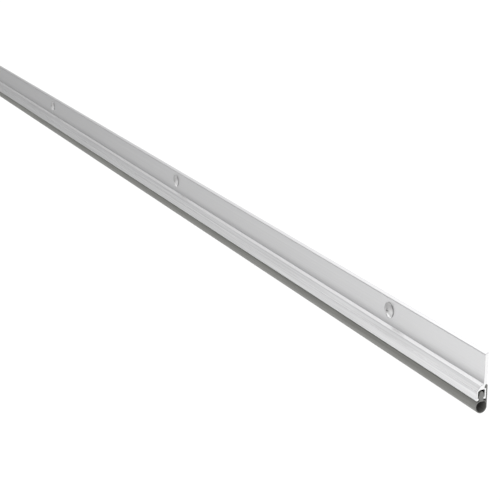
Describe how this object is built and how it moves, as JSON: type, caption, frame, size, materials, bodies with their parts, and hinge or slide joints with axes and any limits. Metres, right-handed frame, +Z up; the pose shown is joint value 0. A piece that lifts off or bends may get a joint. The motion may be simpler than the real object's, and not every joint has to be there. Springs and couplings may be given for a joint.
{
  "type": "split astragal",
  "caption": "Long aluminium door-edge strip with a row of low-headed screws in its flange and a channel holding a hollow rubber bulb seal.",
  "frame": {"origin": "on the axis of the middle screw, at the back face of the flange, at mid length", "axes": "+X along the strip, +Y out of the back face towards the door, along the screws, +Z up, away from the bulb"},
  "size_m": [2.1336, 0.0142, 0.0332],
  "materials": {
    "aluminium": "mill finish, fine lengthwise extrusion lines",
    "screw_steel": "bright zinc-plated steel",
    "rubber": "matt dark grey"
  },
  "bodies": {
    "root": {"aluminium_retainer": "aluminium", "pan_head_screws": "screw_steel", "rubber_bulb_seal": "rubber"}
  },
  "joints": []
}
